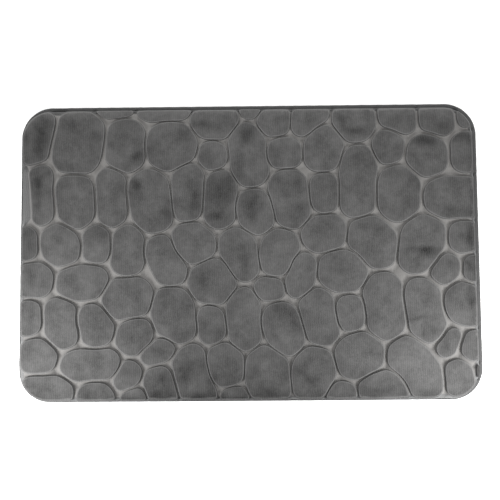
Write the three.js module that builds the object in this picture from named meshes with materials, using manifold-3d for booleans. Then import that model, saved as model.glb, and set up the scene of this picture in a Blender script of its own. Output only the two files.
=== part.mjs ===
// A padded bath mat: a foam slab under a pressed pile cover, on a non-slip base cloth, its cut rim
// pinched flat and bound with tape.
// Frame: X along the mat's length, Y across it, Z up. The origin is on the floor, under the middle.
// Millimetres. Every level is a multiple of 1/8 mm, so layers that lie on each other share a face exactly.
import * as THREE from "three";
import { mergeVertices } from "three/addons/utils/BufferGeometryUtils.js";
import Module from "manifold-3d";

// Outline of the whole mat, over the binding.
const LENGTH = 900;
const WIDTH = 580;
const CORNER_RADIUS = 62;
const CORNER_STEPS = 10;

// Levels of the layers, from the floor up.
const FLOOR = 0;
const TAPE_UNDERSIDE = 0.25;
const BASE_CLOTH_BOTTOM = 1;
const BASE_CLOTH_TOP = 1.75;
const FOAM_BOTTOM = 2;
const PINCHED_RIM_TOP = 3;
const TAPE_TOP = 4;
const BULGE_BOTTOM = 4.25;
const FOAM_TOP = 12.5;
const COVER_GROUND = 12.75;
const COVER_TOP = 16;

// How far each outline lies inside the mat's own outline.
const TAPE_THICKNESS = 1;
const TAPE_LIP = 7;
const PINCHED_RIM_INSET = 1.5;
const NECK_INSET = 7.5;
const FOAM_INSET = 10;
const BULGE_INSET = 4.75;
const GRIP_INSET = 8;
const STITCH_INSET = 4;

// The padded body was sewn a little off centre, towards the -X and -Y sides of the bound rim.
const BULGE_SHIFT = -2.5;

const FIT_GAP = 0.3;
const THREAD_WIDTH = 0.5;

// Care label: a folded satin tab under the -X edge, lying in a bay left free of grip print.
const LABEL_LENGTH = 45;
const LABEL_WIDTH = 30;
const LABEL_THICKNESS = 0.5;
const LABEL_CENTRE_Y = 180;
const LABEL_BAY_MARGIN = 2;

const wasm = await Module();
wasm.setup();

// A rectangle with round corners, `inset` inside the mat's outline all the way round.
function outline(inset, shift = 0) {
  const radius = CORNER_RADIUS - inset;
  const x = LENGTH / 2 - CORNER_RADIUS;
  const y = WIDTH / 2 - CORNER_RADIUS;
  const corners = [[x, y], [-x, y], [-x, -y], [x, -y]];
  const points = [];
  corners.forEach(([cx, cy], corner) => {
    for (let step = 0; step <= CORNER_STEPS; step++) {
      const angle = (corner + step / CORNER_STEPS) * (Math.PI / 2);
      points.push(new THREE.Vector2(
        cx + shift + radius * Math.cos(angle),
        cy + shift + radius * Math.sin(angle),
      ));
    }
  });
  return points;
}

// A flat layer between two levels, with an optional hole through it.
function layer(points, bottom, top, hole = null) {
  const shape = new THREE.Shape(points);
  if (hole) shape.holes.push(new THREE.Path(hole));
  const geometry = new THREE.ExtrudeGeometry(shape, { depth: top - bottom, bevelEnabled: false });
  return geometry.translate(0, 0, bottom);
}

// A closed ring of rectangular section that follows the rim.
function ring(outerInset, innerInset, bottom, top) {
  return layer(outline(outerInset), bottom, top, outline(innerInset));
}

function box(x, y, bottom, length, width, height) {
  return new THREE.BoxGeometry(length, width, height).translate(x, y, bottom + height / 2);
}

function solid(geometry) {
  const bare = geometry.index ? geometry.toNonIndexed() : geometry.clone();
  bare.deleteAttribute("normal");
  bare.deleteAttribute("uv");
  const merged = mergeVertices(bare, 1e-4);
  return new wasm.Manifold(new wasm.Mesh({
    numProp: 3,
    vertProperties: new Float32Array(merged.attributes.position.array),
    triVerts: new Uint32Array(merged.index.array),
  }));
}

function geometryOf(manifold) {
  const { vertProperties, triVerts } = manifold.getMesh();
  const geometry = new THREE.BufferGeometry();
  geometry.setAttribute("position", new THREE.BufferAttribute(new Float32Array(vertProperties), 3));
  geometry.setIndex(new THREE.BufferAttribute(new Uint32Array(triVerts), 1));
  geometry.computeVertexNormals();
  return geometry;
}

const join = (...geometries) => geometries.map(solid).reduce((sum, piece) => sum.add(piece));

// Pile cover: a tray of fleece turned upside down over the foam, necked in above the tape, with its
// pinched edge running out under the tape's upper lip.
function pileCover() {
  const tray = join(
    layer(outline(BULGE_INSET, BULGE_SHIFT), BULGE_BOTTOM, COVER_TOP),
    layer(outline(NECK_INSET), BASE_CLOTH_TOP, BULGE_BOTTOM),
    layer(outline(PINCHED_RIM_INSET), BASE_CLOTH_TOP, PINCHED_RIM_TOP),
  );
  const foamSpace = solid(layer(outline(FOAM_INSET - FIT_GAP), FLOOR, COVER_GROUND));
  return geometryOf(tray.subtract(foamSpace));
}

// Edge binding: one tape folded round the pinched rim, an outer wall with a lip above and below.
function edgeBinding() {
  return geometryOf(join(
    ring(0, TAPE_THICKNESS, TAPE_UNDERSIDE, TAPE_TOP),
    ring(0, TAPE_LIP, TAPE_UNDERSIDE, BASE_CLOTH_BOTTOM),
    ring(0, TAPE_LIP, PINCHED_RIM_TOP, TAPE_TOP),
  ));
}

// The label lies under the base cloth, one short edge just inside the binding.
const labelCentreX = -LENGTH / 2 + TAPE_LIP + FIT_GAP + LABEL_LENGTH / 2;

function careLabel() {
  return box(
    labelCentreX,
    LABEL_CENTRE_Y,
    BASE_CLOTH_BOTTOM - LABEL_THICKNESS,
    LABEL_LENGTH,
    LABEL_WIDTH,
    LABEL_THICKNESS,
  );
}

// Grip print: thousands of rubbery dots on the base cloth, held here as the sheet that they fill.
function gripDots() {
  const sheet = solid(layer(outline(GRIP_INSET), FLOOR, BASE_CLOTH_BOTTOM));
  const bay = solid(box(
    labelCentreX,
    LABEL_CENTRE_Y,
    FLOOR - 1,
    LABEL_LENGTH + 2 * LABEL_BAY_MARGIN,
    LABEL_WIDTH + 2 * LABEL_BAY_MARGIN,
    BASE_CLOTH_BOTTOM + 2,
  ));
  return geometryOf(sheet.subtract(bay));
}

// One line of lockstitch holds the tape: a thread on top of the rim and another under it.
function threadLine(bottom, top) {
  return ring(STITCH_INSET - THREAD_WIDTH / 2, STITCH_INSET + THREAD_WIDTH / 2, bottom, top);
}

const pileGrey = { color: 0x676665, roughness: 0.95, metalness: 0 };
const foamCream = { color: 0xd9cfb4, roughness: 0.9, metalness: 0 };
const glueMilk = { color: 0xe6e2d8, roughness: 0.5, metalness: 0 };
const clothGrey = { color: 0xa4a2a0, roughness: 0.85, metalness: 0 };
const gripGrey = { color: 0xc7c5c4, roughness: 0.45, metalness: 0 };
const tapeDark = { color: 0x3b3b3d, roughness: 0.85, metalness: 0 };
const threadDark = { color: 0x3e3e40, roughness: 0.6, metalness: 0 };
const satinWhite = { color: 0xeceae4, roughness: 0.45, metalness: 0 };

const bathMat = new THREE.Group();

function place(name, geometry, finish) {
  const mesh = new THREE.Mesh(geometry, new THREE.MeshStandardMaterial(finish));
  mesh.name = name;
  bathMat.add(mesh);
}

place("grip_dots", gripDots(), gripGrey);
place("care_label", careLabel(), satinWhite);
place("base_cloth", layer(outline(PINCHED_RIM_INSET), BASE_CLOTH_BOTTOM, BASE_CLOTH_TOP), clothGrey);
place("lower_glue_web", layer(outline(FOAM_INSET), BASE_CLOTH_TOP, FOAM_BOTTOM), glueMilk);
place("foam_core", layer(outline(FOAM_INSET), FOAM_BOTTOM, FOAM_TOP), foamCream);
place("upper_glue_web", layer(outline(FOAM_INSET), FOAM_TOP, COVER_GROUND), glueMilk);
place("pile_cover", pileCover(), pileGrey);
place("edge_binding", edgeBinding(), tapeDark);
place("needle_thread", threadLine(TAPE_TOP, BULGE_BOTTOM), threadDark);
place("bobbin_thread", threadLine(FLOOR, TAPE_UNDERSIDE), threadDark);

export default bathMat;
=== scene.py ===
"""A foam bath mat whose pile cover is hot-pressed into pebbles: base cloth, glue webs, foam slab, pile
cover, bound rim with its two rows of thread, grip print and a blank care label, in the order they are put
together."""

import math

import bpy
import numpy as np
from mathutils import Matrix, Vector, geometry


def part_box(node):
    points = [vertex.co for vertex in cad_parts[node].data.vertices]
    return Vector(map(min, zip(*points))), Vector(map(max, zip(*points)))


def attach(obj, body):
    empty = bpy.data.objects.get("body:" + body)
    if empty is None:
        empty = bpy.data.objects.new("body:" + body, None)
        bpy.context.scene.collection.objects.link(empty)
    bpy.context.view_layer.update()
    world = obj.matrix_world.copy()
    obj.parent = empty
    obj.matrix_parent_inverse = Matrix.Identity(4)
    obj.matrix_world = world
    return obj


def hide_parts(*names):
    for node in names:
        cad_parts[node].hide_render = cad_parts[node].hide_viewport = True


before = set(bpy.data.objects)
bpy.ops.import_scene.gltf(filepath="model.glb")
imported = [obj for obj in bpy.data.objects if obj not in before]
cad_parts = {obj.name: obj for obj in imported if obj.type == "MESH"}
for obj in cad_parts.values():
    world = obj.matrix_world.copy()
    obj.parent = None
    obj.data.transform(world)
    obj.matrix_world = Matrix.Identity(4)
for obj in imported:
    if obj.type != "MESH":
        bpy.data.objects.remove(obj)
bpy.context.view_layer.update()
MM = 0.001
BODY = "root"

# ---------------------------------------------------------------- base cloth
# The base cloth is a plain-woven polyester sheet, cut to the mat's outline and glued under the foam. It
# carries the grip print, and its edge is pinched together with the cover's and closed into the binding.
mat_low, mat_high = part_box("edge_binding")
MAT_LENGTH = mat_high.x - mat_low.x
MAT_WIDTH = mat_high.y - mat_low.y
CORNER_RADIUS = 62 * MM
RIM_POINTS = 960

straight_x = MAT_LENGTH - 2 * CORNER_RADIUS
straight_y = MAT_WIDTH - 2 * CORNER_RADIUS
corner_core = np.array([straight_x, straight_y]) / 2
quarter = math.pi / 2 * CORNER_RADIUS
OUTLINE_LENGTH = 2 * (straight_x + straight_y) + 4 * quarter


def rim_line(count):
    """Two (count, 2) arrays that give any outline of the mat as core + (radius - inset) * outward. The core
    walks round the rectangle of corner centres while the outward direction stays still. At each corner the
    core stays still, and the outward direction turns a quarter circle. Steps are even along the outline."""
    half_round = [straight_y, quarter, straight_x, quarter]
    passed = np.cumsum([0] + half_round + half_round)
    core_x = np.array([1, 1, 1, -1, -1, -1, -1, 1, 1]) * straight_x / 2
    core_y = np.array([-1, 1, 1, 1, 1, -1, -1, -1, -1]) * straight_y / 2
    turn = np.array([0, 0, 1, 1, 2, 2, 3, 3, 4]) * math.pi / 2
    steps = np.arange(count) / count * OUTLINE_LENGTH
    core = np.stack([np.interp(steps, passed, core_x), np.interp(steps, passed, core_y)], -1)
    angle = np.interp(steps, passed, turn)
    return core, np.stack([np.cos(angle), np.sin(angle)], -1)


rim_core, rim_outward = rim_line(RIM_POINTS)


def rim_loop(inset, height, shift=0.0):
    """The mat's outline drawn inset metres further in, at a height, moved by shift along X and Y. The inset
    and the height may vary along the outline."""
    flat = rim_core + (CORNER_RADIUS - np.broadcast_to(inset, RIM_POINTS))[:, None] * rim_outward + shift
    return np.column_stack([flat, np.broadcast_to(height, RIM_POINTS)])


def inner_loops(inset, height, shares=(0.9, 0.7, 0.5, 0.3, 0.12)):
    """Loops that carry a flat face from the outline at inset to the middle, each a smaller copy of it."""
    return [rim_loop(inset, height) * (share, share, 1) for share in shares]


def quads_between(rows, columns, closed_rows=False, start=0):
    """Faces of a grid of points whose rows are closed circles: each joins a point, its neighbour along the
    row, and the same two one row further."""
    row = np.arange(rows if closed_rows else rows - 1)[:, None]
    column = np.arange(columns)[None, :]
    after = (column + 1) % columns
    above = (row + 1) % rows
    return start + np.stack([row * columns + column, row * columns + after,
                             above * columns + after, above * columns + column], -1).reshape(-1, 4)


def fan(ring, tip, outward=True):
    """Triangles that close a ring of point numbers onto one tip."""
    after = np.roll(ring, -1)
    order = [ring, after, np.full_like(ring, tip)]
    return np.stack(order if outward else order[::-1], -1)


def make_piece(name, points, faces, material, **values):
    """A smooth-shaded mesh object on the mat's body, from points (n, 3), face arrays (m, corners) and named
    values per point."""
    mesh = bpy.data.meshes.new(name)
    corners = np.concatenate([part.ravel() for part in faces]).astype(np.int32)
    sizes = np.concatenate([np.full(len(part), part.shape[1]) for part in faces]).astype(np.int32)
    mesh.vertices.add(len(points))
    mesh.vertices.foreach_set("co", np.asarray(points, np.float32).ravel())
    mesh.loops.add(len(corners))
    mesh.loops.foreach_set("vertex_index", corners)
    mesh.polygons.add(len(sizes))
    mesh.polygons.foreach_set("loop_start", (np.cumsum(sizes) - sizes).astype(np.int32))
    mesh.polygons.foreach_set("use_smooth", np.ones(len(sizes), bool))
    mesh.update(calc_edges=True)
    for value_name, value in values.items():
        layer = mesh.attributes.new(value_name, "FLOAT", "POINT")
        layer.data.foreach_set("value", np.asarray(value, np.float32))
    mesh.materials.append(material)
    piece = bpy.data.objects.new(name, mesh)
    bpy.context.scene.collection.objects.link(piece)
    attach(piece, BODY)
    return piece


def lofted_piece(name, loops, material, capped=True, **values):
    """A closed skin carried through loops of equal length, from the first loop's middle to the last one's.
    Without caps the last loop joins the first, and the skin is a ring."""
    points = np.concatenate(loops)
    count = len(loops[0])
    faces = [quads_between(len(loops), count, closed_rows=not capped)]
    if capped:
        ends = [np.mean(loops[0], 0), np.mean(loops[-1], 0)]
        first, last = np.arange(count), len(points) - count + np.arange(count)
        faces += [fan(first, len(points), False), fan(last, len(points) + 1)]
        points = np.concatenate([points, ends])
        values = {key: np.concatenate([value, value[:1], value[-1:]]) for key, value in values.items()}
    return make_piece(name, points, faces, material, **values)


class Wire:
    """A node output that takes part in arithmetic. Each operator adds one Math node to the same tree."""

    def __init__(self, tree, socket=None):
        self.tree = tree
        self.socket = socket

    def node(self, kind, inputs=None, output=0, stops=None, **settings):
        """Adds one node: its settings, then its ramp stops, then each input's value or link."""
        made = self.tree.nodes.new("ShaderNode" + kind)
        for name, value in settings.items():
            setattr(made, name, value)
        if stops:
            elements = made.color_ramp.elements
            for _ in stops[2:]:
                elements.new(1.0)
            for element, (position, level) in zip(elements, stops):
                element.position = position
                element.color = (level, level, level, 1)
        for key, value in (inputs or {}).items():
            if isinstance(value, Wire):
                self.tree.links.new(value.socket, made.inputs[key])
            else:
                made.inputs[key].default_value = value
        return Wire(self.tree, made.outputs[output] if len(made.outputs) else None)

    def math(self, operation, *values, clamp=False):
        """One Math node on these values."""
        return self.node("Math", dict(enumerate(values)), operation=operation, use_clamp=clamp)

    def __add__(self, other):
        return self.math("ADD", self, other)

    def __sub__(self, other):
        return self.math("SUBTRACT", self, other)

    def __rsub__(self, other):
        return self.math("SUBTRACT", other, self)

    def __mul__(self, other):
        return self.math("MULTIPLY", self, other)

    __radd__ = __add__
    __rmul__ = __mul__

    def sine(self):
        return self.math("SINE", self)

    def clamped(self):
        return self.math("ADD", self, 0.0, clamp=True)

    def ramp(self, *stops):
        """The value sent through a ramp of (position, level) stops."""
        return self.node("ValToRGB", {0: self}, stops=stops)

    def mix(self, first, second):
        """This value's blend of two colours: the first at 0, the second at 1."""
        return self.node("Mix", {0: self, 6: first, 7: second}, output=2, data_type="RGBA")

    def place(self):
        """The point on the piece, in metres from the mat's middle."""
        return self.node("TexCoord", output="Object")

    def axes(self):
        """The three coordinates of the point on the piece."""
        apart = self.tree.nodes.new("ShaderNodeSeparateXYZ")
        self.tree.links.new(self.place().socket, apart.inputs[0])
        return [Wire(self.tree, socket) for socket in apart.outputs]

    def noise(self, grain, detail=2.0, roughness=0.5):
        """Soft noise whose blotches are about grain metres across, from 0 to 1 around 0.5."""
        return self.node("TexNoise", {"Vector": self.place(), "Scale": 1 / grain, "Detail": detail,
                                      "Roughness": roughness})

    def value(self, name):
        """A value stored on the piece's points."""
        return self.node("Attribute", output="Fac", attribute_name=name)

    def bump(self, height, depth, strength=1.0):
        """A normal from a height of 0 to 1 that stands for depth metres."""
        return self.node("Bump", {"Height": height, "Distance": depth, "Strength": strength})


def grey(level, warmth=0.0):
    """A linear grey, warmed by a share of itself."""
    return (level * (1 + warmth), level, level * (1 - warmth), 1)


def start_material(name):
    """A new material with an empty node tree, and a wire to build in it."""
    material = bpy.data.materials.new(name)
    material.use_nodes = True
    material.node_tree.nodes.clear()
    return material, Wire(material.node_tree)


def finish_material(wire, surface):
    """Closes a material with one Principled shader that has these socket values."""
    wire.node("OutputMaterial", {"Surface": wire.node("BsdfPrincipled", surface)})


def woven_height(wire, pitch):
    """Plain weave: warp and weft cords cross over and under, a product of sines at the thread pitch."""
    x, y, _ = wire.axes()
    turn = math.pi / pitch
    return (x * turn).sine() * (y * turn).sine() * 0.5 + 0.5


def base_cloth_material():
    """Plain-woven polyester: the weave's height lights and dents it, over two scales of cloudiness."""
    material, wire = start_material("base cloth")
    weave = woven_height(wire, 0.9 * MM)
    tone = weave * 0.25 + wire.noise(30 * MM) * 0.3 + wire.noise(1.5 * MM) * 0.2
    finish_material(wire, {
        "Base Color": tone.clamped().mix(grey(0.30, 0.03), grey(0.44, 0.03)),
        "Roughness": 0.85,
        "Specular IOR Level": 0.2,
        "Normal": wire.bump(weave, 0.15 * MM, 0.7),
    })
    return material


CLOTH_INSET = 1.5 * MM
cloth_low, cloth_high = (corner.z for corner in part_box("base_cloth"))
cloth_loops = inner_loops(CLOTH_INSET, cloth_low)[::-1] + [
    rim_loop(CLOTH_INSET + 0.3 * MM, cloth_low),
    rim_loop(CLOTH_INSET, cloth_low + 0.2 * MM),
    rim_loop(CLOTH_INSET, cloth_high - 0.2 * MM),
    rim_loop(CLOTH_INSET + 0.3 * MM, cloth_high),
] + inner_loops(CLOTH_INSET, cloth_high)
base_cloth = lofted_piece("base_cloth_sheet", cloth_loops, base_cloth_material())
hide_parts("base_cloth")

# ---------------------------------------------------------------- lower glue web
# The glue web is a spun sheet of melted threads that bonds the base cloth to the foam. It is thin and patchy,
# and stops where the foam stops.
FOAM_INSET = 10 * MM


def glue_material():
    """Spun adhesive: raised pale strands along the edges of irregular cells."""
    material, wire = start_material("glue web")
    strands = wire.node("TexVoronoi", {"Vector": wire.place(), "Scale": 1 / (4 * MM)}, output="Distance",
                        feature="DISTANCE_TO_EDGE")
    thread = strands.ramp((0.0, 1.0), (0.12, 0.0))
    finish_material(wire, {
        "Base Color": thread.mix(grey(0.68, 0.06), grey(0.80, 0.06)),
        "Roughness": 0.45,
        "Normal": wire.bump(thread, 0.1 * MM, 0.8),
    })
    return material


glue = glue_material()
web_low, web_high = (corner.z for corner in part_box("lower_glue_web"))
lower_web = lofted_piece("lower_glue_sheet",
                         inner_loops(FOAM_INSET, web_low)[::-1]
                         + [rim_loop(FOAM_INSET, web_low), rim_loop(FOAM_INSET, web_high)]
                         + inner_loops(FOAM_INSET, web_high), glue)
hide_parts("lower_glue_web")

# ---------------------------------------------------------------- foam core
# The core is one slab of soft open-cell foam. The hot press that bonds the cover crushes it along every
# groove between the pebbles, so its top carries the whole pattern, pebble by pebble.

# Each pebble is given as a rounded bone: the middle, half of the bone, and the radius round it,
# in millimetres, row by row from the +Y side and from left to right.
PEBBLES = np.array([
    (-417, 228, 5, 23, 32), (-336, 217, 4, 18, 49), (-262, 300, 12, 0, 34), (-242, 210, 0, 16, 38),
    (-165, 305, 20, 0, 46), (-152, 208, 2, 0, 49), (-65, 263, 7, 0, 42), (5, 284, 0, 0, 26),
    (0, 191, -3.5, 29, 36), (50, 258, 5, 0, 32), (120, 265, 10, 10, 30), (148, 201, 2, 8, 39),
    (209, 257, 0, 2, 44), (214, 135, 1.5, 37, 36), (296, 265, 6, -3, 37), (275, 204, 0, 4, 32.5),
    (371, 261, 8, -3, 36), (426, 262, 0, 0, 25), (350, 186, 0, 1, 42), (427, 193, 0, 11, 31),
    (71, 192, 5, 0, 30.5),

    (-464, 106, 2, -22, 31), (-405.5, 113, -2.5, 40, 22), (-340.5, 100, -2.5, 20, 38), (-270, 106, 0, 31, 29),
    (-192, 99, -5, 21, 41), (-120.5, 116.5, 1.5, 29.5, 30), (-71, 189, 1, 0, 28),
    (-55.5, 101.5, 1.5, 25.5, 31), (13, 77, -3, 8, 36), (81, 101, -3.5, 21, 38), (148, 112, 0, 12, 28.5),
    (293, 111, 0, 13, 42), (407, 101, 26, 0, 40),

    (-440, 18, 0, 6, 29), (-369, 16, -3, 5, 39), (-299, 17, 0, 10.5, 29), (-238, 3, 0, 18.5, 31.5),
    (-162, -18, -10, 18.5, 31.5), (-109, 15, -6, 5, 38), (-19, -8, -5, 17, 36), (58, -4, 4, 10, 37),
    (147, 33, 8, 1, 37), (241, 16, -9, 10, 42), (336, 10, 6, 14, 44), (421, 22, 4, 0, 33),
    (380, -39, 4, 4, 29.5), (441, -38, 0, 3, 30),

    (-425, -54, 11, 0, 34), (-326, -60, 18, 1, 34.5), (-239, -91, 12, 1, 40), (-430, -126, 0, 7, 28),
    (-366, -137, 2.5, -17, 34), (-300, -141.5, 3, -7.5, 35), (-148, -126.5, 3, -16.5, 42),
    (-70, -58, 4, -1, 45), (-12, -133, 1.5, -31, 32.5), (39, -73.5, 9, 0, 22), (100, -48, 4, 15, 29),
    (181, -40, 8, -1, 41), (260.5, -110.5, 2.5, -27.5, 38.5), (340.5, -117.5, 4.5, -26.5, 38),
    (422, -106, 7, -1, 44), (135, -129, 5, -23, 33.5), (196, -123, -1, 7, 29), (65, -152.5, 5, -14.5, 37),
    (-74, -143.5, 2, -11, 27), (-221, -165.5, 2, 1, 37.5),

    (-410, -200.5, 4, 0, 34), (-392, -270, 20, -1, 32), (-307, -218, 30.5, 1, 29.5), (-298, -282, 6, 0, 31),
    (-236.5, -239, 3.5, 5, 27), (-178, -190, 13, 7, 26), (-174, -268, 6, -20, 29), (-224, -283, 2, 0, 24),
    (-107, -247, 9, -35, 34), (-46.5, -218, 1, -5.5, 38.5), (34, -240, 4, -14, 44), (121, -237, 4, 10, 42),
    (211, -204, 5, 3.5, 44), (178, -281, 5, 0, 28), (254, -274, 10, 1, 42), (318.5, -227, 15.5, -21, 40),
    (385, -179.5, 6, 9.5, 20.5), (434, -188, 0, 3, 30), (402.5, -247, 1.5, -6, 31), (440, -235, 0, 9, 8),
    (-30, -285, 3, 0, 24),
]) * MM
pebble_middle, pebble_bone, pebble_radius = PEBBLES[:, :2], PEBBLES[:, 2:4], PEBBLES[:, 4]

# The padded body was sewn a little off centre in its binding.
BULGE_INSET = 4.75 * MM
BULGE_SHIFT = -2.5 * MM
GROOVE_WIDTH = 0.6 * MM
END_GROOVE_WIDTH = 3.8 * MM
GROOVE_WIDENS_OVER = MAT_LENGTH * 0.4
NEIGHBOUR_SOFTNESS = 4.4 * MM
REACH = 4.6 * MM
REACH_SOFTNESS = 2.0 * MM
RIM_LEDGE = 1.2 * MM


def bone_distance(points):
    """How far each point (..., 2) is from each pebble's bone, less that pebble's radius: (..., pebbles)."""
    apart = points[..., None, :] - pebble_middle
    share = np.sum(apart * pebble_bone, -1) / (np.sum(pebble_bone ** 2, -1) + 1e-12)
    return np.linalg.norm(apart - np.clip(share, -1, 1)[..., None] * pebble_bone, axis=-1) - pebble_radius


def soft_least(values, softness):
    """The least of the last axis with its corners rounded: minus softness times the log of the summed
    exponentials of minus value over softness."""
    lowest = values.min(-1)
    return lowest - softness * np.log(np.sum(np.exp((lowest[..., None] - values) / softness), -1))


def core_distance(points):
    """How far a point lies outside the rectangle of the outline's corner centres, below zero inside it."""
    outside = np.abs(points) - corner_core
    return np.linalg.norm(np.maximum(outside, 0), axis=-1) + np.minimum(outside.max(-1), 0)


def rim_depth(points):
    """How far a point lies inside the padded body's outline: the outline's radius less the distance from the
    rectangle of its corner centres."""
    return CORNER_RADIUS - BULGE_INSET - core_distance(points - BULGE_SHIFT)


def even_steps(outline, count):
    """A closed outline (n, 2) with its points moved to count even steps along it."""
    closed = np.concatenate([outline, outline[:1]])
    passed = np.concatenate([[0], np.cumsum(np.linalg.norm(np.diff(closed, axis=0), axis=1))])
    steps = np.arange(count) / count * passed[-1]
    return np.stack([np.interp(steps, passed, closed[:, axis]) for axis in (0, 1)], -1)


def free_room(points, shrink, ledge):
    """How far points (pebbles, n, 2) can still grow as part of their own pebble: half a groove short of
    halfway to every neighbour, to the pebble's own reach, and to the rim, each met softly. Grooves widen
    towards the mat's ends."""
    number = np.arange(len(PEBBLES))
    distance = bone_distance(points)
    own = distance[number, :, number]
    toward_end = np.minimum(np.abs(points[..., 0]) / GROOVE_WIDENS_OVER, 1) ** 2
    groove = GROOVE_WIDTH + (END_GROOVE_WIDTH - GROOVE_WIDTH) * toward_end
    halfway = (distance - own[..., None] - groove[..., None]) / 2
    halfway[number, :, number] = 1.0
    room = soft_least(halfway, NEIGHBOUR_SOFTNESS) - shrink
    room = soft_least(np.stack([room, REACH - own - shrink], -1), REACH_SOFTNESS)
    return soft_least(np.stack([room, rim_depth(points) - ledge], -1), REACH_SOFTNESS)


LONGEST_RAY = 140 * MM
HALVINGS = 14


def pebble_outlines(shrink, ledge, rays=144):
    """The pebbles' outlines, (pebbles, rays, 2): where the free room runs out along rays from a point inside
    each, found by halving the stretch that holds the edge. A pebble with no room there is left out."""
    base = np.clip(pebble_middle, -corner_core, corner_core)
    out = pebble_middle - base
    reach = CORNER_RADIUS - BULGE_INSET - ledge - np.minimum(12 * MM, pebble_radius / 2)
    hub = base + out * np.minimum(1, reach / (np.linalg.norm(out, axis=1) + 1e-9))[:, None]
    angle = np.arange(rays) / rays * math.tau
    ray = np.stack([np.cos(angle), np.sin(angle)], -1)
    near, far = np.zeros((len(PEBBLES), rays)), np.full((len(PEBBLES), rays), LONGEST_RAY)
    for _ in range(HALVINGS):
        middle = (near + far) / 2
        inside = free_room(hub[:, None] + middle[..., None] * ray, shrink, ledge) > 0
        near, far = np.where(inside, middle, near), np.where(inside, far, middle)
    roomy = free_room(hub[:, None], shrink, ledge)[:, 0] > 0
    return (hub[:, None] + near[..., None] * ray)[roomy]


def outline_distance(points, outline):
    """The distance from each point to the nearest place on a closed outline."""
    step = np.roll(outline, -1, 0) - outline
    apart = points[:, None] - outline
    share = np.clip(np.sum(apart * step, -1) / np.sum(step * step, -1), 0, 1)
    return np.linalg.norm(apart - share[..., None] * step, axis=-1).min(1)


GROUND_LEVEL = 11.6 * MM
RIM_LEVEL = 4.9 * MM
RIM_SLOPE = 8 * MM
PEBBLE_LEVEL = 15.4 * MM
RIM_DROP = 2.6 * MM
RIM_DROP_WIDTH = 24 * MM
CROWN = 0.7 * MM
CROWN_SPREAD = 13 * MM
SWELL = 0.12 * MM
SHOULDER = 3.6 * MM
RIM_SHOULDER = 4.4 * MM
RIM_SHOULDER_WIDTH = 14 * MM
SHOULDER_POWER = 3.2
LAYER_RIM_WIDTH = 30 * MM
LAYER_RIM_DROP = 2.4


def smooth_step(value):
    """0 below 0 and 1 above 1, with a smooth S between."""
    value = np.clip(value, 0, 1)
    return value * value * (3 - 2 * value)


def ground_height(points):
    """The pressed ground's height, which falls to the rim over the slope's width."""
    return RIM_LEVEL + (GROUND_LEVEL - RIM_LEVEL) * smooth_step(rim_depth(points) / RIM_SLOPE)


def ripple(points):
    """Slow swells of the padding, from -1 to 1: three crossing sine waves."""
    x, y = points[..., 0], points[..., 1]
    return (np.sin(x * 61 + y * 23) + np.sin(y * 74 - x * 31 + 1.3) + np.sin((x + y) * 117 + 0.6)) / 3


def climb_and_height(flat, distance, size, top_drop, ground_drop):
    """How far up its pebble's wall a point is, and its height. The climb is a superellipse of the distance
    from the outline. The top is crowned, swells slowly, and sinks towards the rim. A layer under the cover
    lies its ground drop lower between the pebbles, and a few times that towards the rim."""
    shoulder = size * (SHOULDER + RIM_SHOULDER * (1 - smooth_step(rim_depth(flat) / RIM_SHOULDER_WIDTH)))
    climb = (1 - (1 - np.clip(distance / shoulder, 0, 1)) ** SHOULDER_POWER) ** (1 / SHOULDER_POWER)
    crown = CROWN * size * (1 - np.exp(-distance / CROWN_SPREAD)) + SWELL * ripple(flat)
    sink = RIM_DROP * (1 - np.clip(rim_depth(flat) / RIM_DROP_WIDTH, 0, 1)) ** 2
    near_rim = 1 - smooth_step(rim_depth(flat) / LAYER_RIM_WIDTH)
    ground = ground_height(flat) - ground_drop * (1 + LAYER_RIM_DROP * near_rim)
    return climb, ground + (PEBBLE_LEVEL - top_drop + crown - sink - ground) * climb


def fill_between(points, loops):
    """Triangles, facing up, that fill the flat space fenced in by closed loops of point numbers, through the
    points of the loops and those that lie free inside: a constrained Delaunay triangulation."""
    fence = np.concatenate([np.stack([loop, np.roll(loop, -1)], -1) for loop in loops])
    _, _, triangles, origin, _, _ = geometry.delaunay_2d_cdt(
        [Vector(point) for point in points], fence.tolist(), [], 1, 1e-7)
    triangles = np.array([group[0] for group in origin])[np.array(triangles)]
    corner = points[triangles]
    side, other = corner[:, 1] - corner[:, 0], corner[:, 2] - corner[:, 0]
    turned_down = side[:, 0] * other[:, 1] < side[:, 1] * other[:, 0]
    triangles[turned_down] = triangles[turned_down][:, ::-1]
    return triangles


MIDDLE_LINE_SHARE = 0.85
WALL_SHARE = 0.6
FULL_HALF_WIDTH = 20 * MM


def wall_rings(ring, steps):
    """A pebble's wall seen from above, (rings, points, 2), and the pebble's mean half width. The wall is its
    outline carried by set steps towards a short line in its middle. The line is what the pebble's length has
    more than its width, and in a small pebble the steps are shortened, so that they stop short of it."""
    middle = ring.mean(0)
    spread = ring - middle
    _, _, axes = np.linalg.svd(spread, full_matrices=False)
    along, across = spread @ axes[0], spread @ axes[1]
    half_line = MIDDLE_LINE_SHARE * max(0.0, (np.ptp(along) - np.ptp(across)) / 2)
    target = middle + np.clip(along, -half_line, half_line)[:, None] * axes[0]
    way = np.linalg.norm(target - ring, axis=1)
    shortened = np.minimum(1, WALL_SHARE * way / steps[-1])
    travel = steps[:, None] * shortened / way
    return ring + travel[..., None] * (target - ring), way.mean()


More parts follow.
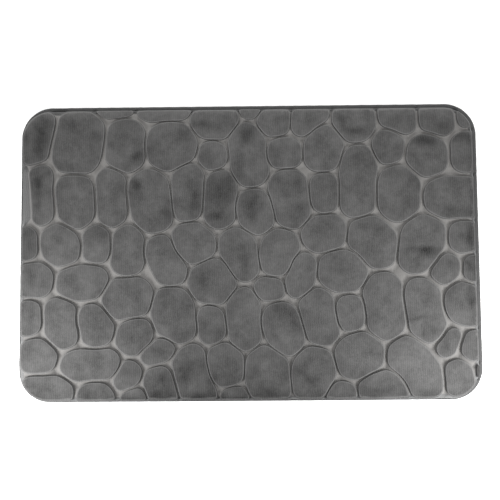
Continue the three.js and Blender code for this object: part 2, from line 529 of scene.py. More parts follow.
def points_within(ring, middle, spacing):
    """The points of a staggered grid that lie half a spacing or more inside a ring, whose radius round the
    middle is interpolated at each point's angle."""
    low, high = ring.min(0), ring.max(0)
    rows = np.arange(low[1], high[1], spacing * math.sqrt(3) / 2)
    columns = np.arange(low[0], high[0], spacing)
    x = columns[None, :] + (np.arange(len(rows))[:, None] % 2) * spacing / 2
    grid = np.stack([x, np.broadcast_to(rows[:, None], x.shape)], -1).reshape(-1, 2)
    angle = np.arctan2(*(grid - middle).T[::-1])
    ring_angle = np.arctan2(*(ring - middle).T[::-1])
    ring_radius = np.linalg.norm(ring - middle, axis=1)
    order = np.argsort(ring_angle)
    radius = np.interp(angle, ring_angle[order], ring_radius[order], period=math.tau)
    return grid[np.linalg.norm(grid - middle, axis=1) < radius - spacing * 0.5]


def relief_face(loop, outlines, wall_steps, spacing, top_drop, ground_drop, inset=0.0, count=64):
    """One face of a pressed layer, seen from above. The loop is its edge and comes first in the points. Each
    pebble's wall is a stack of rings, and its top is triangulated through a staggered grid. The ground
    between the outlines is triangulated too. Returns points, faces and how far up its wall each point is."""
    points, heights, climbs, faces = [loop[:, :2]], [loop[:, 2]], [np.zeros(len(loop))], []
    total = len(loop)
    outer, inner, free = [], [], []
    rings = len(wall_steps)
    steps = np.array(wall_steps) + inset * (np.arange(rings) > 0)
    for outline in outlines:
        ring = even_steps(outline, count)
        wall, half_width = wall_rings(ring, steps)
        tops = points_within(wall[-1], ring.mean(0), spacing)
        flat = np.concatenate([wall.reshape(-1, 2), tops])
        distance = np.maximum(outline_distance(flat, ring) - inset, 0)
        distance[:count] = 0
        size = min(1.0, half_width / FULL_HALF_WIDTH)
        climb, height = climb_and_height(flat, distance, size, top_drop, ground_drop)
        points.append(flat)
        heights.append(height)
        climbs.append(climb)
        faces.append(quads_between(rings, count, start=total))
        outer.append(total + np.arange(count))
        inner.append(total + (rings - 1) * count + np.arange(count))
        free.append(total + rings * count + np.arange(len(tops)))
        total += len(flat)
    points, heights, climbs = np.concatenate(points), np.concatenate(heights), np.concatenate(climbs)

    # The ground lies between the loop and the outlines: triangles within one outline are left out.
    fences = [np.arange(len(loop))] + outer
    used = np.concatenate(fences)
    number = np.full(total, -1)
    number[used] = np.arange(len(used))
    triangles = used[fill_between(points[used], [number[fence] for fence in fences])]
    owner = np.full(total, -1)
    for k, ring in enumerate(outer):
        owner[ring] = k
    same = (owner[triangles] == owner[triangles[:, :1]]).all(1) & (owner[triangles[:, 0]] >= 0)
    faces.append(triangles[~same])

    # The tops lie inside the innermost rings.
    used = np.concatenate(inner + free)
    number[used] = np.arange(len(used))
    faces.append(used[fill_between(points[used], [number[fence] for fence in inner])])
    return np.column_stack([points, heights]), faces, climbs


def foam_material():
    """Open-cell foam: round pits, lower in their middles and darkened there with painted shade, over slow
    cloudiness.
    """
    material, wire = start_material("foam")
    cells = wire.node("TexVoronoi", {"Vector": wire.place(), "Scale": 1 / (0.9 * MM)}, output="Distance")
    pits = cells.ramp((0.1, 0.0), (0.55, 1.0))
    # Painted shade: the pits are darker towards their middles.
    finish_material(wire, {
        "Base Color": (pits * 0.8 + wire.noise(12 * MM) * 0.2).mix(grey(0.50, 0.20), grey(0.70, 0.20)),
        "Roughness": 0.95,
        "Specular IOR Level": 0.15,
        "Normal": wire.bump(pits, 0.4 * MM, 0.8),
    })
    return material


INNER_SHRINK = 2.2 * MM
INNER_LEDGE = FOAM_INSET - BULGE_INSET - BULGE_SHIFT + 2 * MM
INNER_STEPS = (0, 0.4 * MM, 1.3 * MM, 3.4 * MM)
INNER_SPACING = 14 * MM
FOAM_EDGE_LEVEL = RIM_LEVEL + 0.4 * MM
FOAM_TOP_DROP = 3.5 * MM
FOAM_GROUND_DROP = 2.3 * MM
FOAM_BEVEL = 0.6 * MM
inner_outlines = pebble_outlines(INNER_SHRINK, INNER_LEDGE, rays=96)
foam_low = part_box("foam_core")[0].z
foam_edge = rim_loop(FOAM_INSET + 0.1 * MM, FOAM_EDGE_LEVEL)
face_points, face_parts, _ = relief_face(foam_edge, inner_outlines, INNER_STEPS, INNER_SPACING,
                                         FOAM_TOP_DROP, FOAM_GROUND_DROP, inset=0.3 * MM, count=48)
below = inner_loops(FOAM_INSET, foam_low)[::-1] + [rim_loop(FOAM_INSET + FOAM_BEVEL, foam_low),
                                                   rim_loop(FOAM_INSET, foam_low + FOAM_BEVEL)]
below_start = len(face_points)
below_points = np.concatenate(below)
middle_number = below_start + len(below_points)
edge = np.arange(RIM_POINTS)
low_edge = middle_number - RIM_POINTS + edge
side_faces = np.stack([low_edge, np.roll(low_edge, -1), np.roll(edge, -1), edge], -1)
foam = make_piece("foam_slab",
                  np.concatenate([face_points, below_points, [[0, 0, foam_low]]]),
                  face_parts + [quads_between(len(below), RIM_POINTS, start=below_start), side_faces,
                                fan(below_start + edge, middle_number, False)],
                  foam_material())
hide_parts("foam_core")

# ---------------------------------------------------------------- upper glue web
# The upper web is the same spun glue, pressed down with the cover, so it follows every pebble and groove.
WEB_THICKNESS = 0.2 * MM
WEB_EDGE_LEVEL = RIM_LEVEL + 0.65 * MM
WEB_TOP_DROP = 3.1 * MM
WEB_GROUND_DROP = 1.9 * MM


def two_faced(name, upper, lower, between, material, **values):
    """A closed layer from an upper and a lower relief face, and the loops between their edges, outside in."""
    (upper_points, upper_parts), (lower_points, lower_parts) = upper, lower
    loops = np.concatenate(between) if between else np.zeros((0, 3))
    lower_start = len(upper_points)
    loop_start = lower_start + len(lower_points)
    edge = np.arange(RIM_POINTS)
    rows = [edge] + [loop_start + k * RIM_POINTS + edge for k in range(len(between))] + [lower_start + edge]
    skirt = [np.stack([np.roll(high, -1), high, low, np.roll(low, -1)], -1)
             for high, low in zip(rows, rows[1:])]
    turned = [(part + lower_start)[:, ::-1] for part in lower_parts]
    return make_piece(name, np.concatenate([upper_points, lower_points, loops]),
                      upper_parts + skirt + turned, material, **values)


web_edge = rim_loop(FOAM_INSET, WEB_EDGE_LEVEL)
web_upper = relief_face(web_edge, inner_outlines, INNER_STEPS, INNER_SPACING,
                        WEB_TOP_DROP, WEB_GROUND_DROP, inset=0.1 * MM, count=32)
web_lower = relief_face(web_edge - (0, 0, WEB_THICKNESS), inner_outlines, INNER_STEPS, INNER_SPACING,
                        WEB_TOP_DROP + WEB_THICKNESS, WEB_GROUND_DROP + WEB_THICKNESS,
                        inset=0.2 * MM, count=32)
upper_web = two_faced("upper_glue_sheet", web_upper[:2], web_lower[:2], [], glue)
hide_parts("upper_glue_web")

# ---------------------------------------------------------------- pile cover
# The cover is a cut-pile fleece, knitted with fine ribs along the mat's short side. Pressed, it stands up as
# pebbles with steep walls, darkened with painted shade, and its pile is crushed flat and pale in the grooves.
COVER_STEPS = (0, 0.15 * MM, 0.35 * MM, 0.65 * MM, 1.1 * MM, 1.7 * MM, 2.6 * MM, 4.2 * MM)
PILE_POINTS = 64
PILE_SPACING = 5 * MM
FLANGE_TOP = 3.0 * MM
NECK_INSET = 7.5 * MM
BACK_GAP = 0.3 * MM
BACK_EDGE_LEVEL = RIM_LEVEL + 0.9 * MM
BACK_TOP_DROP = 3.0 * MM
BACK_GROUND_DROP = 1.8 * MM
RIM_PULL = 1.4 * MM
# Climb values that give the ground by the rim and the rolled edge the walls' painted shade.
RIM_SHADE_CLIMB = 0.4
ROLL_SHADE_CLIMB = 0.5

# Patches where feet and hands have stroked the pile the other way, one per row: middle, half length and
# half width (mm), the turn of the length from X (degrees), and how much darker the patch looks, or paler if
# it is below zero. The last rows are broad and faint.
STROKES = np.array([
    (-410, 226, 40, 13, 80, 0.24), (-303, 230, 20, 15, 110, 0.18), (-347, 250, 11, 9, 0, 0.11),
    (-335, 236, 17, 6, 150, 0.09), (-268, 212, 10, 9, 90, 0.16), (-220, 190, 15, 12, 60, 0.21),
    (-245, 250, 20, 8, 0, 0.07), (-186, 207, 22, 15, 110, 0.22), (-130, 228, 19, 11, 40, 0.14),
    (-92, 250, 15, 11, 0, 0.18), (-45, 256, 15, 9, 90, 0.15), (-68, 246, 14, 8, 0, 0.11),
    (-82, 186, 15, 10, 120, 0.16), (-3, 228, 24, 15, 65, 0.22), (-14, 155, 14, 9, 90, 0.11),
    (-15, 190, 30, 8, 95, 0.08), (110, 253, 12, 8, 0, 0.09), (185, 255, 17, 7, 110, 0.17),
    (207, 235, 27, 7, 0, 0.21), (237, 270, 13, 7, 90, 0.09), (283, 250, 12, 10, 30, 0.13),
    (302, 268, 18, 6, 45, 0.09), (380, 240, 19, 9, 0, 0.09), (348, 214, 30, 12, 0, 0.25),
    (328, 176, 19, 7, 130, 0.09), (420, 222, 19, 8, 10, 0.15), (62, 200, 14, 10, 0, 0.06),
    (135, 222, 11, 9, 0, 0.06), (165, 190, 14, 8, 90, 0.06), (50, 248, 20, 12, 0, -0.07),

    (-412, 118, 45, 9, 90, 0.22), (-413, 142, 16, 11, 90, 0.10), (-360, 128, 14, 9, 0, 0.07),
    (-258, 105, 34, 12, 90, 0.09), (-218, 128, 14, 10, 110, 0.21), (-185, 140, 17, 7, 160, 0.11),
    (-163, 90, 32, 8, 95, 0.10), (-192, 108, 16, 14, 0, -0.09), (-108, 112, 38, 11, 85, 0.11),
    (-145, 98, 12, 7, 0, 0.13), (-56, 122, 26, 24, 0, 0.20), (-66, 68, 18, 8, 10, 0.17),
    (-45, 90, 30, 18, 90, 0.09), (8, 98, 18, 13, 90, 0.17), (5, 75, 20, 11, 90, 0.10),
    (55, 138, 16, 15, 0, 0.13), (97, 128, 22, 9, 90, 0.13), (70, 110, 12, 8, 0, 0.09),
    (102, 80, 14, 9, 90, 0.11), (62, 82, 20, 8, 80, -0.07), (185, 140, 18, 10, 90, 0.05),
    (305, 100, 22, 20, 0, 0.07), (375, 98, 32, 10, 90, -0.09), (405, 76, 20, 8, 0, 0.08),

    (-426, 15, 28, 10, 90, 0.17), (-285, 30, 12, 10, 90, 0.06), (-170, 5, 20, 10, 90, 0.06),
    (-10, -15, 24, 9, 90, 0.13), (225, 45, 18, 8, 0, 0.09), (255, 45, 12, 8, 0, 0.07),
    (340, 0, 36, 6, 0, 0.20), (352, -8, 26, 11, 0, 0.13), (365, 45, 12, 8, 90, 0.09),
    (428, 22, 24, 7, 90, 0.15), (392, -26, 12, 9, 0, 0.15), (427, -30, 14, 9, 90, 0.15),

    (-425, -48, 28, 9, 90, 0.21), (-402, -65, 12, 11, 0, 0.09), (-424, -126, 30, 8, 90, 0.19),
    (-290, -48, 16, 13, 0, 0.08), (-240, -70, 24, 9, 0, 0.10), (-90, -65, 26, 13, 100, 0.05),
    (-75, -40, 16, 9, 0, 0.05), (-165, -90, 22, 11, 80, 0.10), (-130, -158, 26, 9, 0, 0.10),
    (-168, -150, 20, 6, 130, -0.12), (-200, -160, 15, 12, 90, 0.09), (170, -38, 24, 16, 0, 0.07),
    (60, -115, 24, 17, 0, 0.17), (86, -136, 22, 11, 115, 0.15), (50, -165, 17, 6, 130, 0.11),
    (323, -133, 17, 4.5, 15, 0.19), (335, -158, 9, 4.5, 90, 0.16), (356, -158, 8, 8, 0, 0.17),
    (365, -85, 24, 7, 110, -0.12), (428, -100, 42, 7, 90, 0.15), (245, -95, 22, 9, 90, 0.06),

    (-425, -188, 32, 9, 90, 0.10), (-400, -262, 36, 9, 160, 0.13), (-375, -250, 18, 6, 160, -0.05),
    (-300, -208, 22, 9, 0, 0.07), (-310, -272, 14, 9, 0, 0.10), (-177, -190, 12, 9, 0, 0.10),
    (-172, -240, 13, 11, 90, 0.10), (-175, -275, 27, 9, 0, 0.15), (-125, -240, 17, 14, 90, 0.14),
    (-100, -225, 20, 9, 0, 0.08), (-100, -278, 34, 8, 0, 0.12), (-42, -216, 26, 11, 0, 0.09),
    (42, -275, 22, 9, 0, 0.14), (115, -206, 14, 13, 0, 0.16), (110, -245, 18, 6, 130, 0.08),
    (130, -276, 24, 8, 0, 0.11), (166, -262, 14, 7, 50, 0.10), (244, -271, 32, 9, 0, 0.16),
    (335, -273, 32, 8, 0, 0.11), (322, -225, 26, 18, 120, -0.07), (377, -190, 10, 8, 0, 0.15),

    (0, 228, 420, 42, 0, -0.05), (-95, 98, 65, 42, 0, 0.09), (165, 20, 62, 60, 0, -0.05),
    (438, 40, 26, 62, 0, 0.09), (-385, -110, 60, 190, 0, -0.06), (320, -205, 75, 50, 0, -0.12),
    (-75, -262, 150, 38, 0, 0.10), (-95, -180, 70, 50, 0, 0.05),
])


def stroke_tone(points):
    """How much the strokes darken the pile at each point: every stroke adds its depth times a soft oval,
    which is the exponential of minus the squared oval radius."""
    apart = points[:, None, :2] / MM - STROKES[:, :2]
    turn = np.radians(STROKES[:, 4])
    along = (apart[..., 0] * np.cos(turn) + apart[..., 1] * np.sin(turn)) / STROKES[:, 2]
    across = (apart[..., 1] * np.cos(turn) - apart[..., 0] * np.sin(turn)) / STROKES[:, 3]
    return np.exp(-along ** 2 - across ** 2) @ STROKES[:, 5]


# Widths and strengths of the painted shade along the rim and of the painted light along the +Y side's rim.
RIM_BAND = 24 * MM
RIM_BAND_SHADE = 0.11
RIM_SHADE_WIDTH = 10 * MM
RIM_SHADE_TONE = 0.22
FAR_SIDE_START = 215 * MM
FAR_SIDE_WIDTH = 60 * MM
FAR_SIDE_LIGHT = 0.26


def rim_lay(points):
    """How much painted shade darkens the pile by the rim: over a wide band, and more over the last
    millimetres, on three sides, while the +Y side is painted paler. Smooth steps of the rim depth and of Y."""
    depth = rim_depth(points)
    far_side = smooth_step((points[:, 1] - FAR_SIDE_START) / FAR_SIDE_WIDTH)
    wide = 1 - smooth_step(depth / RIM_BAND)
    narrow = 1 - smooth_step(depth / RIM_SHADE_WIDTH)
    return wide * (RIM_BAND_SHADE - FAR_SIDE_LIGHT * far_side) + narrow * RIM_SHADE_TONE * (1 - far_side)


RIB_PITCH = 4.2 * MM


def pile_material():
    """Grey velvet. The climb up a pebble's wall picks crushed pile, painted wall shade or upright pile. Ribs,
    tufts, blotches and slow patches vary the upright pile, a painted highlight lightens the pebbles'
    shoulders, and its lay darkens it, with painted shade by the rim. The painted wall shade is lighter
    towards the ends and the -Y side, which the lamps light, by X squared times a fall along Y. Crushed pile
    is paler towards +Y."""
    material, wire = start_material("pile")
    x, y, _ = wire.axes()
    climb = wire.value("climb")
    lay = wire.value("lay")
    ribs = ((x + (wire.noise(20 * MM) - 0.5) * 0.008) * (math.tau / RIB_PITCH)).sine() * 0.5 + 0.5
    tufts = wire.noise(1.3 * MM, 3.0, 0.65)
    blotches = wire.noise(7 * MM, 3.0, 0.6)
    patches = wire.noise(32 * MM, 3.0, 0.55)
    # The lay darkens the pile by the strokes and by the rim's painted shade, and lightens it by the painted
    # light on the +Y side.
    stroked_and_rim_shaded = lay * (blotches * 0.8 + 0.6)
    # Painted highlight: a light line along each pebble's shoulder, where sheen catches the light.
    shoulder_highlight = climb.ramp((0.84, 0.0), (0.92, 1.0), (0.97, 1.0), (0.997, 0.0))
    tone = ((patches - 0.5) * 0.7 + (blotches - 0.5) * 0.26 + (tufts - 0.5) * 0.7 + (ribs - 0.5) * 0.09
            + 0.47 + shoulder_highlight * 0.4 - stroked_and_rim_shaded * 1.15)
    upright = tone.clamped().mix(grey(0.008, 0.01), grey(0.104, 0.01))
    crushed = (tufts + y).clamped().mix(grey(0.085, 0.03), grey(0.145, 0.03))
    # Painted shade: the walls, between the crushed ground and the upright top, are darkened.
    shade = climb.ramp((0.0, 0.0), (0.10, 0.8), (0.50, 1.0), (0.80, 0.2), (0.90, 0.0))
    # Painted light: the painted wall shade is lighter towards the ends and the -Y side, which the lamps
    # light.
    lamp_lit_wall_shade = (x * x * (4 - y * 9)).clamped()
    standing = shade.mix(upright, lamp_lit_wall_shade.mix(grey(0.013), grey(0.070)))
    ground = climb.ramp((0.0, 1.0), (0.08, 0.0))
    finish_material(wire, {
        "Base Color": ground.mix(standing, crushed),
        "Roughness": 0.95,
        "Specular IOR Level": 0.1,
        "Sheen Weight": 0.16,
        "Sheen Roughness": 0.45,
        "Sheen Tint": (1, 1, 1, 1),
        "Normal": wire.bump(tufts * 0.8 + ribs * 0.2, 0.6 * MM, 0.7),
    })
    return material


outlines = pebble_outlines(0.0, RIM_LEDGE)
bulge_edge = rim_loop(BULGE_INSET, RIM_LEVEL, BULGE_SHIFT)
edge_gap = np.array([np.linalg.norm(outlines.reshape(-1, 2) - point, axis=1).min()
                     for point in bulge_edge[:, :2]])
groove_end = smooth_step((edge_gap - 2.0 * MM) / (3.5 * MM))
cover_upper = relief_face(bulge_edge, outlines, COVER_STEPS, PILE_SPACING, 0.0, 0.0, count=PILE_POINTS)
cover_back_edge = rim_loop(FOAM_INSET - BACK_GAP, BACK_EDGE_LEVEL)
cover_lower = relief_face(cover_back_edge, inner_outlines, INNER_STEPS, INNER_SPACING,
                          BACK_TOP_DROP, BACK_GROUND_DROP, count=32)

# Where a groove runs out at the rim, the padding is thin and the binding draws the cover's edge in.
pulled = groove_end * RIM_PULL
cover_upper[0][:RIM_POINTS, :2] -= rim_outward * pulled[:, None]

# The edge rolls under to a neck, runs out flat into the binding, and comes back in over the base cloth.
roll = [rim_loop(BULGE_INSET + 0.1 * MM + pulled, RIM_LEVEL - 0.35 * MM, BULGE_SHIFT),
        rim_loop(BULGE_INSET + 0.9 * MM + pulled * 0.5, RIM_LEVEL - 0.62 * MM, BULGE_SHIFT),
        rim_loop(NECK_INSET + 0.5 * MM, 4.2 * MM), rim_loop(NECK_INSET + 0.4 * MM, FLANGE_TOP + 0.1 * MM),
        rim_loop(NECK_INSET - 0.4 * MM, FLANGE_TOP - 0.05 * MM), rim_loop(CLOTH_INSET, FLANGE_TOP - 0.1 * MM),
        rim_loop(CLOTH_INSET, cloth_high + 0.05 * MM),
        rim_loop(FOAM_INSET - BACK_GAP, cloth_high + 0.05 * MM)]

# By the rim the ground's pile is not crushed pale but gets the walls' painted shade, and so does the rolled
# edge's.
# The lay carries the strokes and also the painted shade by the rim and the painted light on the +Y side.
near_rim = 1 - smooth_step(rim_depth(cover_upper[0][:, :2]) / RIM_SHADE_WIDTH)
climb_with_rim_shade = np.concatenate([np.maximum(cover_upper[2], near_rim * RIM_SHADE_CLIMB), cover_lower[2],
                               np.full(len(roll) * RIM_POINTS, ROLL_SHADE_CLIMB)])
lay_values = np.zeros(len(climb_with_rim_shade))
lay_values[:len(cover_upper[0])] = stroke_tone(cover_upper[0]) + rim_lay(cover_upper[0][:, :2])
cover = two_faced("pile_cover_skin", cover_upper[:2], cover_lower[:2], roll, pile_material(),
                  climb=climb_with_rim_shade, lay=lay_values)
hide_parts("pile_cover")

# ---------------------------------------------------------------- edge binding
# The rim is closed by one woven polyester tape, folded round the pinched edges of cover and base cloth. It
# puckers slightly where a groove of the pattern runs out under it.
TWILL_PITCH = 0.8 * MM
WAVES = 96
WAVE_DEPTH = 0.12 * MM
PUCKER_DEPTH = 0.5 * MM


def binding_material():
    """Dark twill: diagonal cords, a sine of X plus Y, with painted shade where the tape puckers."""
    material, wire = start_material("binding tape")
    x, y, _ = wire.axes()
    twill = ((x + y) * (math.tau / TWILL_PITCH)).sine() * 0.5 + 0.5
    # Painted shade: the tape is darkened where it puckers and sinks.
    tone = wire.noise(6 * MM) * 0.5 + twill * 0.3 + 0.1 - wire.value("pucker") * 0.5
    finish_material(wire, {
        "Base Color": tone.clamped().mix(grey(0.032), grey(0.072)),
        "Roughness": 0.8,
        "Specular IOR Level": 0.3,
        "Normal": wire.bump(twill, 0.15 * MM, 0.6),
    })
    return material


tape_low, tape_high = (corner.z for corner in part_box("edge_binding"))
along_rim = np.arange(RIM_POINTS) / RIM_POINTS
wave = WAVE_DEPTH * np.sin(along_rim * math.tau * WAVES + 2 * np.sin(along_rim * math.tau * 7))
sunk = PUCKER_DEPTH * groove_end

# The folded tape's cross-section, as how far in from the mat's edge and how high (mm): up its outside from
# the lip under the mat, over the edge to the upper lip, and back along its inside.
tape_profile = np.array([
    (7.0, 0.40), (7.0, 0.28), (5.0, 0.25), (2.2, 0.25), (1.0, 0.45), (0.3, 1.0), (0.0, 2.0), (0.2, 3.0),
    (0.8, 3.7), (1.8, 3.98), (4.0, 4.0), (6.2, 3.98), (6.95, 3.85), (7.0, 3.5), (6.9, 3.1),
    (5.0, 3.05), (2.4, 3.03), (1.35, 2.8), (1.1, 2.1), (1.3, 1.3), (2.4, 0.98), (5.0, 0.98), (6.9, 0.95),
]) * MM
upper_half = smooth_step((tape_profile[:, 1] - tape_low) / (tape_high - tape_low))
tape_loops = [rim_loop(inset + (wave + sunk) * rise * (inset < 1 * MM), height - sunk * rise * 0.4)
              for (inset, height), rise in zip(tape_profile, upper_half)]
pucker_values = np.concatenate([groove_end * rise for rise in upper_half])
binding = lofted_piece("edge_binding_tape", tape_loops, binding_material(), capped=False,
                       pucker=pucker_values)
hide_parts("edge_binding")

# ---------------------------------------------------------------- stitching
# A row of lockstitch holds the tape: the needle thread lies on the upper lip and the bobbin thread under the
# lower one, each stitch a short sunk bow of spun polyester.
STITCH_PITCH = 3.0 * MM
STITCH_LENGTH = 2.5 * MM
THREAD_RADIUS = 0.22 * MM
STITCH_INSET = 4.0 * MM
STITCH_RINGS = 5
THREAD_SIDES = 6
stitch_count = round(OUTLINE_LENGTH / STITCH_PITCH)


def thread_material():
    """Twisted polyester: its plies are a sine of X minus Y."""
    material, wire = start_material("thread")
    x, y, _ = wire.axes()
    twist = ((x - y) * (math.tau / (0.5 * MM))).sine() * 0.5 + 0.5
    finish_material(wire, {
        "Base Color": twist.mix(grey(0.03), grey(0.07)),
        "Roughness": 0.55,
        "Normal": wire.bump(twist, 0.08 * MM, 0.6),
    })
    return material


def repeated(parts, copies, points_each):
    """The faces of one small shape for every copy of it, whose points follow each other in the mesh."""
    shift = np.arange(copies)[:, None, None] * points_each
    return [(part[None] + shift).reshape(-1, part.shape[1]) for part in parts]


def stitch_row(name, height, sink, node, material):
    """One row of stitches: along each, a few rings whose middle line bows from below the tape's face to
    height and back, a half sine of depth sink, closed by a tip at each end."""
    core, outward = rim_line(stitch_count)
    forward = np.stack([-outward[:, 1], outward[:, 0]], -1)
    start = core + (CORNER_RADIUS - STITCH_INSET) * outward
    share = np.linspace(-0.5, 0.5, STITCH_RINGS)
    angle = np.arange(THREAD_SIDES) / THREAD_SIDES * math.tau
    bow = height + sink * (np.cos(share * math.pi) - 1)
    thick = THREAD_RADIUS * np.array([0.6, 1, 1, 1, 0.6])
    flat = start[:, None, None] + (share * STITCH_LENGTH)[None, :, None, None] * forward[:, None, None]
    flat = flat + (thick[:, None] * np.cos(angle))[None, ..., None] * outward[:, None, None]
    rise = np.broadcast_to((bow[:, None] + thick[:, None] * np.sin(angle))[None], flat.shape[:3])
    rings = np.concatenate([flat, rise[..., None]], -1)
    tips = rings[:, [0, -1]].mean(2)
    points = np.concatenate([rings.reshape(stitch_count, -1, 3), tips], 1)
    ring = np.arange(THREAD_SIDES)
    first_tip = STITCH_RINGS * THREAD_SIDES
    one = [quads_between(STITCH_RINGS, THREAD_SIDES)[:, ::-1], fan(ring, first_tip),
           fan(first_tip - THREAD_SIDES + ring, first_tip + 1, False)]
    row = make_piece(name, points.reshape(-1, 3), repeated(one, stitch_count, points.shape[1]), material)
    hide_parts(node)
    return row


thread = thread_material()
needle_top, bobbin_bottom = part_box("needle_thread")[1].z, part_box("bobbin_thread")[0].z
stitch_row("needle_stitches", needle_top - THREAD_RADIUS, 0.3 * MM, "needle_thread", thread)
stitch_row("bobbin_stitches", bobbin_bottom + THREAD_RADIUS, -0.2 * MM, "bobbin_thread", thread)

# ---------------------------------------------------------------- grip print
# The grip is thousands of small domes of soft plastic, screen-printed on the base cloth in staggered rows and
# left off round the care label.
DOT_PITCH = 10 * MM
DOT_RADIUS = 2.2 * MM
DOT_SIDES = 8
DOT_BACK = 0.05 * MM
GRIP_INSET = 8 * MM
LABEL_MARGIN = 2 * MM


def grip_material():
    """Soft satin plastic, slightly cloudy, with a fine grain."""
    material, wire = start_material("grip print")
    finish_material(wire, {
        "Base Color": wire.noise(25 * MM).mix(grey(0.50, 0.02), grey(0.62, 0.02)),
        "Roughness": 0.42,
        "Specular IOR Level": 0.45,
        "Normal": wire.bump(wire.noise(0.4 * MM), 0.05 * MM, 0.5),
    })
    return material


label_low, label_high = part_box("care_label")
row_step = DOT_PITCH * math.sqrt(3) / 2
row_reach, column_reach = math.ceil(MAT_WIDTH / 2 / row_step), math.ceil(MAT_LENGTH / 2 / DOT_PITCH)
rows = np.arange(-row_reach, row_reach + 1)
columns = np.arange(-column_reach, column_reach + 1)
dot_x = columns[None, :] * DOT_PITCH + (rows[:, None] % 2) * DOT_PITCH / 2
dot_y = np.broadcast_to(rows[:, None] * row_step, dot_x.shape)
dots = np.stack([dot_x, dot_y], -1).reshape(-1, 2)
near_label = ((dots > np.array(label_low)[:2] - DOT_RADIUS - LABEL_MARGIN)
              & (dots < np.array(label_high)[:2] + DOT_RADIUS + LABEL_MARGIN)).all(1)
dots = dots[(core_distance(dots) < CORNER_RADIUS - GRIP_INSET - DOT_RADIUS) & ~near_label]
angle = -np.arange(DOT_SIDES) / DOT_SIDES * math.tau
circle = np.stack([np.cos(angle), np.sin(angle)], -1)
dome = [(1.0, cloth_low + DOT_BACK), (0.85, 0.25 * MM)]
dot_rings = np.stack([np.concatenate([dots[:, None] + circle * DOT_RADIUS * share,
                                      np.full((len(dots), DOT_SIDES, 1), height)], -1)
                      for share, height in dome], 1)
dot_tips = np.column_stack([dots, np.zeros(len(dots))])[:, None]
dot_backs = dot_tips + (0, 0, cloth_low + DOT_BACK)
dot_points = np.concatenate([dot_rings.reshape(len(dots), -1, 3), dot_tips, dot_backs], 1)
ring = np.arange(DOT_SIDES)
one_dot = [quads_between(2, DOT_SIDES), fan(DOT_SIDES + ring, 2 * DOT_SIDES),
           fan(ring, 2 * DOT_SIDES + 1, False)]
grip = make_piece("grip_print", dot_points.reshape(-1, 3), repeated(one_dot, len(dots), dot_points.shape[1]),
                  grip_material())
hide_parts("grip_dots")

# ---------------------------------------------------------------- care label
# A blank tab of white satin, woven from bright polyester and cut with a hot knife. It lies on the underside
# of the base cloth, caught by one end under the binding.
LABEL_UNDER = 0.1 * MM
LABEL_OVER = 0.28 * MM


def label_material():
    """White satin: fine cords, a sine of X that wavers slightly along Y."""
    material, wire = start_material("satin label")
    x, y, _ = wire.axes()
    threads = (x * (math.tau / (0.35 * MM)) + (y * (math.tau / (1.4 * MM))).sine()).sine() * 0.5 + 0.5
    finish_material(wire, {
        "Base Color": threads.mix(grey(0.74, 0.01), grey(0.84, 0.01)),
        "Roughness": 0.38,
        "Anisotropic": 0.5,
        "Normal": wire.bump(threads, 0.05 * MM, 0.5),
    })
    return material


across, lengthwise = np.meshgrid(np.linspace(0, 1, 25), np.linspace(0, 1, 37))
label_x = label_low.x + lengthwise * (label_high.x - label_low.x)
label_y = label_low.y + across * (label_high.y - label_low.y)
lift = 0.08 * MM * np.sin(lengthwise * 9 + across * 3) * lengthwise
label_under = np.stack([label_x, label_y, label_low.z + LABEL_UNDER + lift], -1)
label_over = np.stack([label_x, label_y, label_low.z + LABEL_OVER + lift], -1)
label_points = np.concatenate([label_under.reshape(-1, 3), label_over.reshape(-1, 3)])
label_rows, label_columns = across.shape
cell = (np.arange(label_rows - 1)[:, None] * label_columns + np.arange(label_columns - 1)).ravel()
over_faces = np.stack([cell, cell + label_columns, cell + label_columns + 1, cell + 1], -1)
under_faces = over_faces[:, ::-1]
over_faces = over_faces + label_rows * label_columns
numbers = np.arange(label_rows * label_columns).reshape(label_rows, label_columns)
border = np.concatenate([numbers[0, :-1], numbers[:-1, -1], numbers[-1, :0:-1], numbers[:0:-1, 0]])
wall = np.stack([border, border + label_rows * label_columns,
                 np.roll(border, -1) + label_rows * label_columns, np.roll(border, -1)], -1)
label = make_piece("care_label_tab", label_points, [under_faces, over_faces, wall], label_material())
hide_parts("care_label")

# ---------------------------------------------------------------- floor, light and camera
# A plain white studio floor under a bright even sky, with two small low lamps beyond the -Y corners and a
# long low one behind the +Y side. The camera is high over the mat, a little to its -Y side.
FLOOR_SIZE = 12.0
FLOOR_LEVEL = -0.1 * MM


def floor_material():
    """White paper, very slightly cloudy."""
    material, wire = start_material("studio floor")
    finish_material(wire, {
        "Base Color": wire.noise(1.5).mix(grey(0.95), grey(0.97)),
        "Roughness": 0.9,
        "Specular IOR Level": 0.1,
    })
    return material


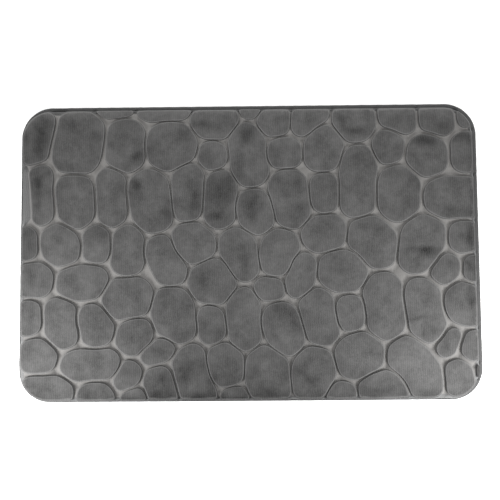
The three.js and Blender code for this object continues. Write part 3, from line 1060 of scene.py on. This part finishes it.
floor_corners = np.array([(-1, -1), (1, -1), (1, 1), (-1, 1)]) * FLOOR_SIZE / 2
floor = make_piece("studio_floor", np.column_stack([floor_corners, np.full(4, FLOOR_LEVEL)]),
                   [np.array([[0, 1, 2, 3]])], floor_material())

world = bpy.data.worlds.new("studio")
world.use_nodes = True
sky = world.node_tree.nodes["Background"]
sky.inputs["Color"].default_value = (1, 1, 1, 1)
sky.inputs["Strength"].default_value = 0.99
bpy.context.scene.world = world


def soft_lamp(name, place, target, size, power):
    """A rectangular lamp, unseen by the camera, that shines from a place to a target in a narrow spread."""
    data = bpy.data.lights.new(name, "AREA")
    data.shape = "RECTANGLE"
    data.size, data.size_y = size
    data.energy = power
    data.spread = math.radians(65)
    lamp = bpy.data.objects.new(name, data)
    lamp.visible_camera = False
    lamp.location = place
    lamp.rotation_euler = (Vector(target) - Vector(place)).to_track_quat("-Z", "Y").to_euler()
    bpy.context.scene.collection.objects.link(lamp)


for lamp_name, hand in (("lamp_left", -1), ("lamp_right", 1)):
    soft_lamp(lamp_name, (hand * 0.85, -0.60, 0.42), (hand * 0.44, -0.26, 0), (0.3, 0.3), 3.5)
soft_lamp("lamp_back", (0, 1.1, 0.3), (0, 0.33, 0), (1.8, 0.2), 3)

CAMERA_PLACE = Vector((0.0135, -0.0955, 1.4))
CAMERA_TARGET = Vector((0.0015, 0.003, 0.0))
CAMERA_ROLL = math.radians(-0.48)
back = (CAMERA_PLACE - CAMERA_TARGET).normalized()
right = Vector((0, 1, 0)).cross(back).normalized()
up = back.cross(right)
rolled_right = math.cos(CAMERA_ROLL) * right + math.sin(CAMERA_ROLL) * up
rolled_up = math.cos(CAMERA_ROLL) * up - math.sin(CAMERA_ROLL) * right
camera_data = bpy.data.cameras.new("camera")
camera_data.sensor_width = 36
camera_data.lens = 51.4
camera = bpy.data.objects.new("camera", camera_data)
camera.matrix_world = Matrix.Translation(CAMERA_PLACE) @ Matrix(
    (rolled_right, rolled_up, back)).transposed().to_4x4()
bpy.context.scene.collection.objects.link(camera)
bpy.context.scene.camera = camera
bpy.context.scene.view_settings.view_transform = "Standard"
